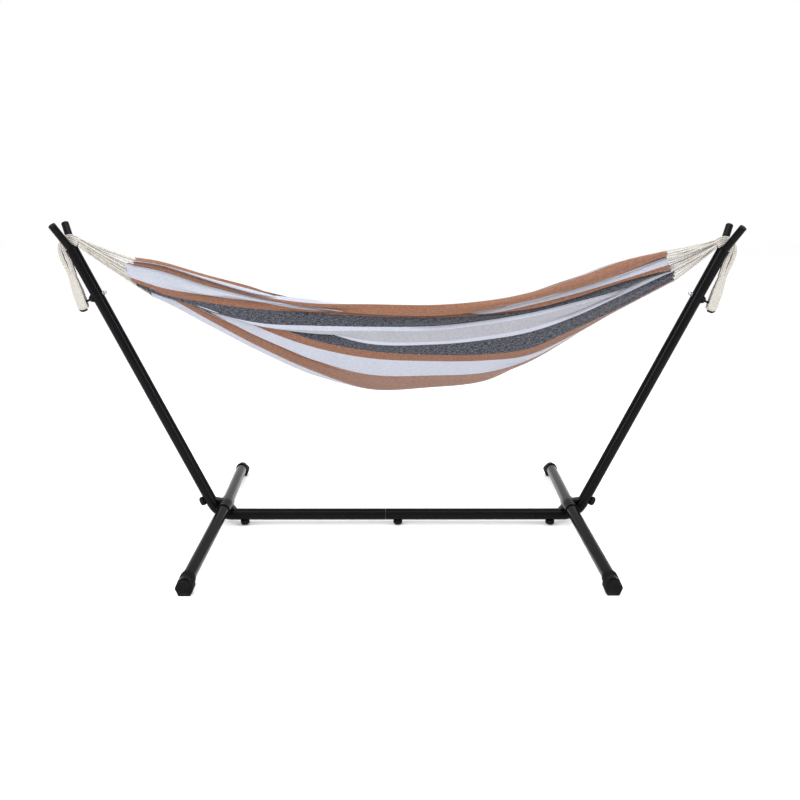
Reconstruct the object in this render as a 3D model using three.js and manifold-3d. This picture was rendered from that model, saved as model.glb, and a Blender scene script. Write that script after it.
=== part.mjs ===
// Hammock on a knock-down steel stand. Millimetres, +Z up, X along the base bar, origin on the floor under the middle.
//
// Two bent elbows join a two-piece base bar to two leaning arms. A V-bent cross leg passes through a sleeve on each
// elbow, and a fork at the top of each arm carries the hammock's cords, whose wound end loops hang on hook bolts.
import * as THREE from "three";
import { mergeVertices } from "three/addons/utils/BufferGeometryUtils.js";
import Module from "manifold-3d";

const wasm = await Module();
wasm.setup();

// ---------- Driving dimensions ----------
const TUBE = { radius: 21, wall: 1.5, sides: 16 }; // bar, elbows, arms and legs
const SPIGOT = { radius: 18.9, wall: 1.5 }; // the drawn-down tube end that slides into the next tube
const FIT_GAP = 0.3; // clearance between pieces that touch
const BAR_HEIGHT = 42; // the base bar's axis above the floor
const CORNER_X = 657.5; // where the bar's axis and the arm's axis would meet
const ARM_LEAN = THREE.MathUtils.degToRad(64.4); // the arm's angle above the floor
const ELBOW = { bendRadius: 80, barLeg: 153, armLeg: 145, steps: 6 }; // legs are measured from the corner
const BAR_SEAM_X = -45; // where the bar's two halves meet
const SPIGOT_LENGTH = 88;
const ARM_LENGTH = 1070; // from the corner to the arm's coped top
const LEG = { apexX: 629.6, apexZ: 77.4, footX: 660, footZ: 35, halfSpan: 590, bendRadius: 150, steps: 4 };
const SLEEVE = { radius: 24.7, halfLength: 48 };
const GUSSET = { halfWidth: 17, barX: 590, armAlong: 60 };
const FORK = { radius: 13, wall: 1.5, seat: 1074, height: 88, splay: THREE.MathUtils.degToRad(30) };
const FORK_BEND = { radius: 28, steps: 10, sides: 12 };
const ARM_PLATE = { depth: 20, thickness: 3 }; // welded across the arm's bore, under the fork
const PLUG = { head: 3, stem: 14, stemRadius: 10.9 };
const FOOT = { inner: 546, collarEnd: 575, wideStart: 566, outer: 602, collarRadius: 24.6 };
const FOOT_OUTLINE = { flat: 18, halfWidth: 28.5, widestZ: 23, top: 58, faceTop: 47 };
const KNOB = { radius: 16.5, height: 15.7, bevel: 4.5, barX: 562, armAlong: 70 };
const STUD = { radius: 4, tip: 6.6, inHead: 10 };
const CAPTIVE_NUT = { radius: 7, height: 8, face: 15.4 };
const BORE = { rod: 4.3, wall: 4.6 };
const HOOK = { along: 891, radius: 4, tail: 32, reach: 80.5, drop: 25, lip: 56, bendRadius: 12.4, steps: 5, sides: 10 };
const SPACER = { baseRadius: 14, faceRadius: 9, face: 31 };
const WASHER = { radius: 8.5, thickness: 1.6 };
const ACORN = { radius: 7.5, hexHeight: 6, domeHeight: 5.2 };
const CLOTH = { halfLength: 925, thickness: 8, endHalfWidth: 50, midHalfWidth: 170, across: 12, along: 22 };
const CLOTH_RIM = { mid: 832, end: 1004, power: 1.5 };
const CLOTH_KEEL = { mid: 520, end: 895, flat: 150, power: 1.3 };
const SWING_AXIS_Z = 1029; // the hammock swings about the line through both cord bundles at the forks
const CORDS = { clothX: 927, forkX: 1093.4, clothHalfHeight: 52, clothHalfWidth: 48, forkRadius: 14, steps: 4 };
const EYE = { onRod: 62, width: 30, leg: 11, slot: 6, below: 7.5, strand: 12, neckGap: 1, slotTop: 34 };

// ---------- Colours and finishes ----------
const finish = (color, roughness, metalness = 0) =>
  new THREE.MeshStandardMaterial({ color, roughness, metalness });
const POWDER_COAT = finish(0x0d0d10, 0.38, 0.3);
const BARE_STEEL = finish(0xb9bcc0, 0.35, 0.9);
const CHROME = finish(0xd9dbde, 0.15, 1);
const RUBBER = finish(0x17171a, 0.75);
const PLASTIC = finish(0x101012, 0.5);
const COTTON_CORD = finish(0xd9cfc0, 0.95);
const CLOTH_FINISH = finish(0xd8d6e2, 0.95);

// ---------- Solids ----------
function toSolid(geometry) {
  const bare = geometry.clone();
  bare.deleteAttribute("normal");
  bare.deleteAttribute("uv");
  const welded = mergeVertices(bare, 1e-3);
  return new wasm.Manifold(
    new wasm.Mesh({
      numProp: 3,
      vertProperties: new Float32Array(welded.attributes.position.array),
      triVerts: new Uint32Array(welded.index.array),
    }),
  );
}

function toGeometry(solid) {
  const mesh = solid.getMesh();
  const indexed = new THREE.BufferGeometry();
  indexed.setAttribute("position", new THREE.BufferAttribute(mesh.vertProperties, 3));
  indexed.setIndex(new THREE.BufferAttribute(mesh.triVerts, 1));
  const flat = indexed.toNonIndexed();
  flat.computeVertexNormals();
  return flat;
}

// The first geometry with each of the others cut away.
function cut(geometry, ...tools) {
  return toGeometry(tools.reduce((solid, tool) => solid.subtract(toSolid(tool)), toSolid(geometry)));
}

function join(...geometries) {
  return toGeometry(geometries.map(toSolid).reduce((a, b) => a.add(b)));
}

function ringPoints(radius, sides) {
  return Array.from({ length: sides }, (_, i) => {
    const angle = (2 * Math.PI * i) / sides;
    return new THREE.Vector2(radius * Math.cos(angle), radius * Math.sin(angle));
  });
}

// A centre line of straight runs whose corners are rounded to one bend radius. Its stations carry the true
// tangents, so a section swept along it needs steps only in the bends.
class BentLine extends THREE.Curve {
  constructor(corners, bendRadius = 0, stepsPerBend = 1) {
    super();
    const ends = [corners[0], corners.at(-1)];
    const heading = (from, to) => to.clone().sub(from).normalize();
    this.stations = [{ point: ends[0], tangent: heading(corners[0], corners[1]) }];
    for (let i = 1; i < corners.length - 1; i++) {
      const before = heading(corners[i - 1], corners[i]);
      const after = heading(corners[i], corners[i + 1]);
      const turn = before.angleTo(after);
      const setback = bendRadius * Math.tan(turn / 2);
      const start = corners[i].clone().addScaledVector(before, -setback);
      const axis = before.clone().cross(after).normalize();
      const inward = axis.clone().cross(before);
      const centre = start.clone().addScaledVector(inward, bendRadius);
      for (let step = 0; step <= stepsPerBend; step++) {
        const angle = (turn * step) / stepsPerBend;
        const spoke = inward.clone().multiplyScalar(-bendRadius).applyAxisAngle(axis, angle);
        this.stations.push({
          point: centre.clone().add(spoke),
          tangent: before.clone().applyAxisAngle(axis, angle),
        });
      }
    }
    this.stations.push({ point: ends[1], tangent: heading(corners.at(-2), corners.at(-1)) });
    this.steps = this.stations.length - 1;
  }

  getUtoTmapping(u) {
    return u;
  }

  getPoint(t, target = new THREE.Vector3()) {
    return target.copy(this.stations[Math.round(t * this.steps)].point);
  }

  getTangent(t, target = new THREE.Vector3()) {
    return target.copy(this.stations[Math.round(t * this.steps)].tangent);
  }
}

// A round bar, or a tube where a bore radius is given, swept along a centre line.
function sweep(line, radius, { bore = 0, sides = TUBE.sides } = {}) {
  const section = new THREE.Shape(ringPoints(radius, sides));
  if (bore) section.holes.push(new THREE.Path(ringPoints(bore, sides)));
  return new THREE.ExtrudeGeometry(section, { steps: line.steps, extrudePath: line, bevelEnabled: false });
}

// Turns a profile of [radius, distance] points about an axis that starts at a point and runs in a direction.
function turn(profile, start, direction, sides = TUBE.sides) {
  const points = profile.map(([radius, distance]) => new THREE.Vector2(radius, distance));
  const upright = new THREE.Vector3(0, 1, 0);
  return new THREE.LatheGeometry(points, sides)
    .applyQuaternion(new THREE.Quaternion().setFromUnitVectors(upright, direction))
    .translate(start.x, start.y, start.z);
}

const pin = (radius, from, to, sides = 12) =>
  turn([[0, 0], [radius, 0], [radius, from.distanceTo(to)], [0, from.distanceTo(to)]], from,
    to.clone().sub(from).normalize(), sides);

// A closed ring profile between two radii.
const ringProfile = (inner, outer, low, high) =>
  [[inner, low], [outer, low], [outer, high], [inner, high], [inner, low]];

// Moves every vertex of a geometry by a function of its position.
function warp(geometry, place) {
  const position = geometry.attributes.position;
  const vertex = new THREE.Vector3();
  for (let i = 0; i < position.count; i++) {
    const moved = place(vertex.fromBufferAttribute(position, i));
    position.setXYZ(i, moved.x, moved.y, moved.z);
  }
  return geometry;
}

// ---------- Places, for the +X end; the -X end is its mirror image ----------
const V = (x, y, z) => new THREE.Vector3(x, y, z);
const ALONG_BAR = V(1, 0, 0);
const DOWN = V(0, 0, -1);
const UP_ARM = V(Math.cos(ARM_LEAN), 0, Math.sin(ARM_LEAN));
const OUT_OF_ARM = V(Math.sin(ARM_LEAN), 0, -Math.cos(ARM_LEAN));
const CORNER = V(CORNER_X, 0, BAR_HEIGHT);

// The point a distance along the arm's axis, a distance out from it on its outer lower side, and to one side.
const armPoint = (along, out = 0, y = 0) =>
  CORNER.clone().addScaledVector(UP_ARM, along).addScaledVector(OUT_OF_ARM, out).setY(y);

const barPoint = (x, below = 0) => V(x, 0, BAR_HEIGHT - below);

const elbowLine = new BentLine(
  [barPoint(CORNER_X - ELBOW.barLeg), CORNER, armPoint(ELBOW.armLeg)],
  ELBOW.bendRadius,
  ELBOW.steps,
);

// The leg's centre line out to a distance from the middle on both sides.
function legLine(halfSpan) {
  const share = halfSpan / LEG.halfSpan;
  const x = THREE.MathUtils.lerp(LEG.apexX, LEG.footX, share);
  const z = THREE.MathUtils.lerp(LEG.apexZ, LEG.footZ, share);
  const apex = V(LEG.apexX, 0, LEG.apexZ);
  return new BentLine([V(x, -halfSpan, z), apex, V(x, halfSpan, z)], LEG.bendRadius, LEG.steps);
}

const forkTip = (reach, front) => {
  const fromVertex = reach + FORK_BEND.radius;
  return armPoint(FORK.seat + reach, 0, front * fromVertex * Math.tan(FORK.splay));
};

const forkLine = (reach) =>
  new BentLine(
    [forkTip(reach, 1), armPoint(FORK.seat - FORK_BEND.radius), forkTip(reach, -1)],
    FORK_BEND.radius,
    FORK_BEND.steps,
  );

const hookLine = new BentLine(
  [
    armPoint(HOOK.along, -HOOK.tail),
    armPoint(HOOK.along, HOOK.reach),
    armPoint(HOOK.along - HOOK.drop, HOOK.reach),
    armPoint(HOOK.along - HOOK.drop, HOOK.lip),
  ],
  HOOK.bendRadius,
  HOOK.steps,
);

// ---------- Assembly ----------
const hammockOnStand = new THREE.Group();

function add(parent, name, geometry, material) {
  const mesh = new THREE.Mesh(geometry, material);
  mesh.name = name;
  parent.add(mesh);
}

// A tube with a drawn-down spigot at one or both ends, as a profile along its axis.
function spigotedTube(low, high, { spigotLow = 0, spigotHigh = 0 }) {
  const bore = TUBE.radius - TUBE.wall;
  const spigotBore = SPIGOT.radius - SPIGOT.wall;
  const shoulder = 3;
  const outside = [[TUBE.radius, low], [TUBE.radius, high]];
  const inside = [[bore, high], [bore, low]];
  if (spigotLow) {
    outside.unshift([SPIGOT.radius, low - spigotLow], [SPIGOT.radius, low]);
    inside.splice(1, 1, [bore, low + shoulder], [spigotBore, low], [spigotBore, low - spigotLow]);
  }
  if (spigotHigh) {
    outside.push([SPIGOT.radius, high], [SPIGOT.radius, high + spigotHigh]);
    inside.splice(0, 1, [spigotBore, high + spigotHigh], [spigotBore, high], [bore, high - shoulder]);
  }
  return [...outside, ...inside, outside[0]];
}

// A knob screws up into a nut held inside the inner tube: head, stud and nut on one axis.
function addKnob(parent, place, axisPoint, outward) {
  const at = (distance) => axisPoint.clone().addScaledVector(outward, distance);
  const seat = TUBE.radius + FIT_GAP;
  const top = KNOB.height;
  const head = turn(
    [
      [0, STUD.inHead + FIT_GAP],
      [BORE.rod, STUD.inHead + FIT_GAP],
      [BORE.rod, 0],
      [KNOB.radius - 1.5, 0],
      [KNOB.radius, 1.5],
      [KNOB.radius, top - KNOB.bevel],
      [KNOB.radius - KNOB.bevel, top],
      [0, top],
    ],
    at(seat), outward, 20,
  );
  add(parent, `knob_${place}`, head, PLASTIC);
  add(parent, `knob_stud_${place}`, pin(STUD.radius, at(STUD.tip), at(seat + STUD.inHead)), BARE_STEEL);
  const nut = ringProfile(BORE.rod, CAPTIVE_NUT.radius, 0, CAPTIVE_NUT.height);
  const nutStart = at(CAPTIVE_NUT.face - CAPTIVE_NUT.height);
  add(parent, `captive_nut_${place}`, turn(nut, nutStart, outward, 12), BARE_STEEL);
}

const studHole = (axisPoint, outward) =>
  pin(BORE.wall, axisPoint.clone(), axisPoint.clone().addScaledVector(outward, TUBE.radius + 5));

// Base bar: the left half's spigot slides into the right half, and both have a spigot for their elbow.
const barEndX = CORNER_X - ELBOW.barLeg - FIT_GAP;
const barKnobHoles = [-KNOB.barX, 0, KNOB.barX].map((x) => studHole(barPoint(x), DOWN));
const leftBar = spigotedTube(-barEndX, BAR_SEAM_X - FIT_GAP, {
  spigotLow: SPIGOT_LENGTH,
  spigotHigh: SPIGOT_LENGTH,
});
const rightBar = spigotedTube(BAR_SEAM_X, barEndX, { spigotHigh: SPIGOT_LENGTH });
add(hammockOnStand, "base_bar_left", cut(turn(leftBar, barPoint(0), ALONG_BAR), ...barKnobHoles), POWDER_COAT);
add(hammockOnStand, "base_bar_right", cut(turn(rightBar, barPoint(0), ALONG_BAR), ...barKnobHoles), POWDER_COAT);
addKnob(hammockOnStand, "bar_middle", barPoint(0), DOWN);

// A foot's outline across the leg: flat under the floor line, widest low down, round over the tube.
function footOutline(top) {
  const { flat, halfWidth, widestZ } = FOOT_OUTLINE;
  const shape = new THREE.Shape();
  shape.moveTo(-flat, 0);
  shape.lineTo(flat, 0);
  shape.lineTo(halfWidth, widestZ);
  shape.absellipse(0, widestZ, halfWidth, top - widestZ, 0, Math.PI, false);
  shape.lineTo(-flat, 0);
  return shape;
}

// A point on the leg's centre line, beyond its bend.
function legPointAt(y) {
  const share = Math.abs(y) / LEG.halfSpan;
  return V(
    THREE.MathUtils.lerp(LEG.apexX, LEG.footX, share),
    y,
    THREE.MathUtils.lerp(LEG.apexZ, LEG.footZ, share),
  );
}

// A rubber foot on the leg's end; side is -1 at the front and 1 at the rear.
function footCap(side) {
  const alongLeg = (from, to) => new BentLine([legPointAt(side * from), legPointAt(side * to)]);
  const collar = sweep(alongLeg(FOOT.inner, FOOT.collarEnd), FOOT.collarRadius);
  const block = new THREE.ExtrudeGeometry(footOutline(FOOT_OUTLINE.top), {
    depth: FOOT.outer - FOOT.wideStart,
    bevelEnabled: false,
    curveSegments: 5,
  })
    .rotateX(Math.PI / 2)
    .translate(LEG.footX, side > 0 ? FOOT.outer : -FOOT.wideStart, 0);
  const slope = (FOOT_OUTLINE.top - FOOT_OUTLINE.faceTop) / (FOOT.outer - FOOT.collarEnd);
  const chamfer = new THREE.BoxGeometry(90, 90, 40)
    .translate(0, 0, 20)
    .rotateX(-side * Math.atan(slope))
    .translate(LEG.footX, side * FOOT.outer, FOOT_OUTLINE.faceTop);
  const bore = sweep(alongLeg(FOOT.inner - 10, LEG.halfSpan + FIT_GAP), TUBE.radius + FIT_GAP);
  return cut(join(collar, block), chamfer, bore);
}

// The sleeve that the leg passes through, with a solid gusset down to the bar and one down to the arm.
function legSleeve() {
  const sleeve = sweep(legLine(SLEEVE.halfLength), SLEEVE.radius, { bore: TUBE.radius + FIT_GAP });
  const armFoot = armPoint(GUSSET.armAlong, -2);
  const tent = new THREE.Shape();
  tent.moveTo(GUSSET.barX, BAR_HEIGHT + 4);
  const bendMiddle = elbowLine.getPoint(0.5);
  tent.lineTo(bendMiddle.x, bendMiddle.z);
  tent.lineTo(armFoot.x, armFoot.z);
  tent.lineTo(LEG.apexX + 8, LEG.apexZ + SLEEVE.radius - 3);
  tent.lineTo(LEG.apexX - 10, LEG.apexZ + SLEEVE.radius - 4);
  const gusset = new THREE.ExtrudeGeometry(tent, { depth: 2 * GUSSET.halfWidth, bevelEnabled: false })
    .rotateX(Math.PI / 2)
    .translate(0, GUSSET.halfWidth, 0);
  const elbowSpace = sweep(elbowLine, TUBE.radius + FIT_GAP);
  const legSpace = sweep(legLine(SLEEVE.halfLength + 10), TUBE.radius + FIT_GAP);
  return join(sleeve, cut(gusset, elbowSpace, legSpace));
}

// A round loft: stations give a centre in the XZ plane, a heading there, and half sizes across and through.
function bundle(stations, sides = 12) {
  const steps = stations.length - 1;
  return warp(new THREE.CylinderGeometry(1, 1, 1, sides, steps), ({ x, y, z }) => {
    const station = stations[Math.round((y + 0.5) * steps)];
    const heading = THREE.MathUtils.degToRad(station.heading);
    const through = -z * station.halfDepth;
    return V(
      station.x - Math.sin(heading) * through,
      x * station.halfWidth,
      station.z + Math.cos(heading) * through,
    );
  });
}

// The cord bundle from the swing axis, over the fork's seat and down the arm's outer side to the end loop.
const tailRoute = [
  { x: 1094, z: SWING_AXIS_Z, heading: 0, halfWidth: 14, halfDepth: 14 },
  { x: 1109, z: 1037, heading: 22, halfWidth: 14, halfDepth: 14.5 },
  { x: 1125, z: 1040, heading: -4, halfWidth: 15, halfDepth: 15.5 },
  { x: 1140, z: 1034, heading: -40, halfWidth: 15, halfDepth: 15 },
  { x: 1150, z: 1019, heading: -72, halfWidth: 14, halfDepth: 13 },
  { x: 1152, z: 1002, heading: -94, halfWidth: 13, halfDepth: 12 },
  { x: 1147.5, z: 984, heading: -106, halfWidth: 12, halfDepth: 12 },
  { x: 1138, z: 955, heading: -108, halfWidth: 12, halfDepth: 13 },
  { x: 1125.5, z: 915, heading: -107, halfWidth: 13, halfDepth: 14 },
];

// The wound loop: two legs either side of the hook's rod, joined under it and above it.
function endLoop() {
  const seat = armPoint(HOOK.along, EYE.onRod);
  const neck = tailRoute.at(-1);
  const up = V(neck.x - seat.x, 0, neck.z - seat.z).normalize();
  const across = V(up.z, 0, -up.x);
  const halfDepth = EYE.slot + EYE.leg;
  const low = -EYE.below - EYE.strand;
  const top = Math.hypot(neck.x - seat.x, neck.z - seat.z) - EYE.neckGap;
  const outline = new THREE.Shape();
  outline.moveTo(halfDepth, low + halfDepth);
  outline.lineTo(halfDepth * 0.8, top);
  outline.lineTo(-halfDepth * 0.8, top);
  outline.lineTo(-halfDepth, low + halfDepth);
  outline.absarc(0, low + halfDepth, halfDepth, Math.PI, 2 * Math.PI, false);
  const slot = new THREE.Path();
  slot.moveTo(EYE.slot, -EYE.below + EYE.slot);
  slot.lineTo(EYE.slot, EYE.slotTop);
  slot.lineTo(-EYE.slot, EYE.slotTop);
  slot.lineTo(-EYE.slot, -EYE.below + EYE.slot);
  slot.absarc(0, -EYE.below + EYE.slot, EYE.slot, Math.PI, 2 * Math.PI, false);
  outline.holes.push(slot);
  const band = new THREE.ExtrudeGeometry(outline, {
    depth: EYE.width,
    bevelEnabled: false,
    curveSegments: 5,
  }).translate(0, 0, -EYE.width / 2);
  const frame = new THREE.Matrix4().makeBasis(V(0, 1, 0), up, across);
  return band.applyMatrix4(frame).translate(seat.x, 0, seat.z);
}

function addEnd(side) {
  const end = new THREE.Group();
  end.scale.x = side === "left" ? -1 : 1;
  hammockOnStand.add(end);
  const barKnobPoint = barPoint(KNOB.barX);
  const armKnobPoint = armPoint(KNOB.armAlong);
  const bore = TUBE.radius - TUBE.wall;

  // Base: elbow, cross leg in its sleeve, and rubber feet.
  const elbow = cut(
    sweep(elbowLine, TUBE.radius, { bore }),
    sweep(legLine(SLEEVE.halfLength), SLEEVE.radius + FIT_GAP),
    studHole(barKnobPoint, DOWN),
    studHole(armKnobPoint, OUT_OF_ARM),
  );
  add(end, `elbow_${side}`, elbow, POWDER_COAT);
  add(end, `leg_sleeve_${side}`, legSleeve(), POWDER_COAT);
  add(end, `cross_leg_${side}`, sweep(legLine(LEG.halfSpan), TUBE.radius, { bore }), POWDER_COAT);
  add(end, `foot_${side}_front`, footCap(-1), RUBBER);
  add(end, `foot_${side}_rear`, footCap(1), RUBBER);
  addKnob(end, `bar_${side}`, barKnobPoint, DOWN);
  addKnob(end, `arm_${side}`, armKnobPoint, OUT_OF_ARM);

  // Arm: its spigot slides into the elbow, and its top is coped to carry the fork.
  const armTube = spigotedTube(ELBOW.armLeg + FIT_GAP, ARM_LENGTH, { spigotLow: SPIGOT_LENGTH });
  const forkSpace = sweep(forkLine(40), FORK.radius + FIT_GAP, { sides: FORK_BEND.sides });
  const boltHole = pin(BORE.wall, armPoint(HOOK.along, -30), armPoint(HOOK.along, 30));
  const arm = cut(turn(armTube, CORNER, UP_ARM), forkSpace, boltHole, studHole(armKnobPoint, OUT_OF_ARM));
  add(end, `arm_${side}`, arm, POWDER_COAT);
  const plateTop = ARM_LENGTH - ARM_PLATE.depth;
  const plate = pin(SPIGOT.radius, armPoint(plateTop - ARM_PLATE.thickness), armPoint(plateTop), TUBE.sides);
  add(end, `arm_plate_${side}`, plate, POWDER_COAT);

  // Fork: one bent tube with a plug in each tip.
  const forkReach = FORK.height - PLUG.head;
  const forkTube = sweep(forkLine(forkReach), FORK.radius, {
    bore: FORK.radius - FORK.wall,
    sides: FORK_BEND.sides,
  });
  add(end, `fork_${side}`, forkTube, POWDER_COAT);
  for (const [name, front] of [["front", -1], ["rear", 1]]) {
    const tip = forkTip(forkReach, front);
    const outward = forkTip(FORK.height, front).sub(tip).normalize();
    const plug = turn(
      [
        [0, -PLUG.stem],
        [PLUG.stemRadius, -PLUG.stem],
        [PLUG.stemRadius, FIT_GAP],
        [FORK.radius, FIT_GAP],
        [FORK.radius, PLUG.head - 1],
        [FORK.radius - 1.5, PLUG.head],
        [0, PLUG.head],
      ],
      tip, outward, FORK_BEND.sides,
    );
    add(end, `fork_plug_${side}_${name}`, plug, PLASTIC);
  }

  // Hook bolt through the arm: spacer on the outer side, washer and domed nut on the inner side.
  add(end, `hook_${side}`, sweep(hookLine, HOOK.radius, { sides: HOOK.sides }), POWDER_COAT);
  const hookRodSpace = pin(BORE.rod, armPoint(HOOK.along, -HOOK.tail - FIT_GAP), armPoint(HOOK.along, 40));
  const armSpace = pin(TUBE.radius + FIT_GAP, armPoint(HOOK.along - 40), armPoint(HOOK.along + 40), 32);
  const spacerLength = SPACER.face - 10;
  const spacer = turn(
    [[0, 0], [SPACER.baseRadius, 0], [SPACER.baseRadius, 14], [SPACER.faceRadius, spacerLength],
      [0, spacerLength]],
    armPoint(HOOK.along, 10), OUT_OF_ARM, 16,
  );
  add(end, `hook_spacer_${side}`, cut(spacer, armSpace, hookRodSpace), PLASTIC);
  const intoArm = OUT_OF_ARM.clone().negate();
  const washerSeat = TUBE.radius + FIT_GAP;
  const washer = ringProfile(BORE.rod, WASHER.radius, 0, WASHER.thickness);
  add(end, `hook_washer_${side}`, turn(washer, armPoint(HOOK.along, -washerSeat), intoArm, 12), BARE_STEEL);
  const nutSeat = washerSeat + WASHER.thickness + FIT_GAP;
  const hex = pin(ACORN.radius, armPoint(HOOK.along, -nutSeat), armPoint(HOOK.along, -nutSeat - ACORN.hexHeight), 6);
  const dome = turn(
    [[0, 0], [6.2, 0], [6.2, ACORN.hexHeight], [5, ACORN.hexHeight + 3], [2.6, ACORN.hexHeight + 4.8],
      [0, ACORN.hexHeight + ACORN.domeHeight]],
    armPoint(HOOK.along, -nutSeat), intoArm, 12,
  );
  add(end, `hook_nut_${side}`, cut(join(hex, dome), hookRodSpace), CHROME);

  // Cord bundle held by the fork, and its wound loop on the hook.
  const tail = cut(bundle(tailRoute), sweep(forkLine(60), FORK.radius + 0.4, { sides: FORK_BEND.sides }));
  add(end, `cord_tail_${side}`, tail, COTTON_CORD);
  const hookSpace = sweep(hookLine, HOOK.radius + 0.5, { sides: HOOK.sides });
  add(end, `cord_loop_${side}`, cut(endLoop(), hookSpace), COTTON_CORD);

  // Cords that fan out from the fork to the gathered end of the cloth.
  const clothZ = (CLOTH_RIM.end + CLOTH_KEEL.end) / 2;
  const fan = Array.from({ length: CORDS.steps + 1 }, (_, i) => {
    const share = i / CORDS.steps;
    return {
      x: THREE.MathUtils.lerp(CORDS.clothX, CORDS.forkX, share),
      z: THREE.MathUtils.lerp(clothZ, SWING_AXIS_Z, share),
      heading: 0,
      halfWidth: THREE.MathUtils.lerp(CORDS.clothHalfWidth, CORDS.forkRadius, share),
      halfDepth: THREE.MathUtils.lerp(CORDS.clothHalfHeight, CORDS.forkRadius, share),
    };
  });
  add(end, `cord_fan_${side}`, bundle(fan), COTTON_CORD);
}

addEnd("left");
addEnd("right");

// Hammock cloth: an open trough, deep in the middle and drawn together at its ends.
function clothTrough() {
  const sheet = new THREE.BoxGeometry(1, 1, 1, CLOTH.across, CLOTH.along, 1);
  return warp(sheet, ({ x: across, y: along, z: through }) => {
    const x = -2 * along * CLOTH.halfLength;
    const toEnd = Math.abs(x) / CLOTH.halfLength;
    const toKeelRise = Math.max(0, Math.abs(x) - CLOTH_KEEL.flat) / (CLOTH.halfLength - CLOTH_KEEL.flat);
    const rimZ = CLOTH_RIM.mid + (CLOTH_RIM.end - CLOTH_RIM.mid) * toEnd ** CLOTH_RIM.power;
    const keelZ = CLOTH_KEEL.mid + (CLOTH_KEEL.end - CLOTH_KEEL.mid) * toKeelRise ** CLOTH_KEEL.power;
    const swell = Math.max(0, Math.cos((toEnd * Math.PI) / 2)) ** 0.8;
    const inset = through < 0 ? 0 : CLOTH.thickness;
    const halfWidth = CLOTH.endHalfWidth + (CLOTH.midHalfWidth - CLOTH.endHalfWidth) * swell - inset;
    const angle = across * Math.PI;
    return V(x, halfWidth * Math.sin(angle), rimZ - (rimZ - keelZ - inset) * Math.cos(angle));
  });
}
add(hammockOnStand, "hammock_cloth", clothTrough(), CLOTH_FINISH);

export default hammockOnStand;
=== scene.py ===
import math

import bmesh
import bpy
from mathutils import Matrix, Vector, noise


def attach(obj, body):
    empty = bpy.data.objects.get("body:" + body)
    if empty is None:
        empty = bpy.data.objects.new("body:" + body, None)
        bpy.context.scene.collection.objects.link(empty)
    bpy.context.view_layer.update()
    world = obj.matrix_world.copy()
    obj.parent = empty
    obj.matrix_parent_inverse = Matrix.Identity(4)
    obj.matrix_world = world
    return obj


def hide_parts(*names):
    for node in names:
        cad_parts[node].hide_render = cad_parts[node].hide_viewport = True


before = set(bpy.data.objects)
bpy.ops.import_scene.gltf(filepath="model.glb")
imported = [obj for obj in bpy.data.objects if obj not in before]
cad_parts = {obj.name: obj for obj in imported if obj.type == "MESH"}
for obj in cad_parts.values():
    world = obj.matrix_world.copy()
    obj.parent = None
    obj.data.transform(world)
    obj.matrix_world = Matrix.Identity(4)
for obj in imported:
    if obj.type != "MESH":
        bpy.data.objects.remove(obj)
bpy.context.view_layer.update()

# ---------------------------------------------------------------- Room
# A plain pale studio: one wide flat floor under even white air, and three soft boxes. The two at the front
# are tall and narrow, so that they leave a long highlight down each tube.
FLOOR_REACH = 14.0


def finish_material(name, roughness, colour=(0.8, 0.8, 0.8), metallic=0.0):
    """A new node material with its shader's uniform values set directly on the sockets."""
    material = bpy.data.materials.new(name)
    material.use_nodes = True
    shader = material.node_tree.nodes["Principled BSDF"]
    shader.inputs["Base Color"].default_value = (*colour, 1)
    shader.inputs["Roughness"].default_value = roughness
    shader.inputs["Metallic"].default_value = metallic
    return material, material.node_tree, shader


def node(tree, kind, inputs=None, **settings):
    """Adds a node; inputs are values, or output sockets to link from."""
    made = tree.nodes.new("ShaderNode" + kind)
    for key, value in settings.items():
        setattr(made, key, value)
    for key, value in (inputs or {}).items():
        if isinstance(value, bpy.types.NodeSocket):
            tree.links.new(value, made.inputs[key])
        else:
            made.inputs[key].default_value = value
    return made


def graded(tree, amount, dark, pale, first=0.0, last=1.0):
    """A colour that runs from dark to pale while the amount runs from first to last."""
    ramp = node(tree, "ValToRGB", {"Fac": amount})
    for element, place, colour in zip(ramp.color_ramp.elements, (first, last), (dark, pale)):
        element.position = place
        element.color = (*colour, 1)
    return ramp.outputs["Color"]


floor_mesh = bpy.data.meshes.new("studio_floor")
floor_mesh.from_pydata(
    [(-FLOOR_REACH, -FLOOR_REACH, 0), (FLOOR_REACH, -FLOOR_REACH, 0),
     (FLOOR_REACH, FLOOR_REACH, 0), (-FLOOR_REACH, FLOOR_REACH, 0)], [], [(0, 1, 2, 3)])
floor = bpy.data.objects.new("studio_floor", floor_mesh)
bpy.context.collection.objects.link(floor)
floor_paper, floor_tree, floor_shader = finish_material("pale_floor_paper", 1.0, (0.98, 0.98, 0.98))
floor_shader.inputs["Specular IOR Level"].default_value = 0.0
floor_grain = node(floor_tree, "TexNoise", {"Scale": 6.0, "Detail": 3.0})
floor_tone = graded(floor_tree, floor_grain.outputs["Fac"], (0.975, 0.975, 0.975), (0.995, 0.995, 0.995))
floor_tree.links.new(floor_tone, floor_shader.inputs["Base Color"])
floor_mesh.materials.append(floor_paper)

world = bpy.data.worlds.new("studio_air")
bpy.context.scene.world = world
world.use_nodes = True
world.node_tree.nodes["Background"].inputs["Color"].default_value = (1, 1, 1, 1)
world.node_tree.nodes["Background"].inputs["Strength"].default_value = 1.0
bpy.context.scene.view_settings.view_transform = "Standard"


def soft_box(name, place, aim, size, watts):
    lamp = bpy.data.lights.new(name, "AREA")
    lamp.shape = "RECTANGLE"
    lamp.size, lamp.size_y = size
    lamp.energy = watts
    holder = bpy.data.objects.new(name, lamp)
    holder.location = place
    holder.rotation_euler = (Vector(aim) - Vector(place)).to_track_quat("-Z", "Y").to_euler()
    bpy.context.collection.objects.link(holder)


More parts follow.
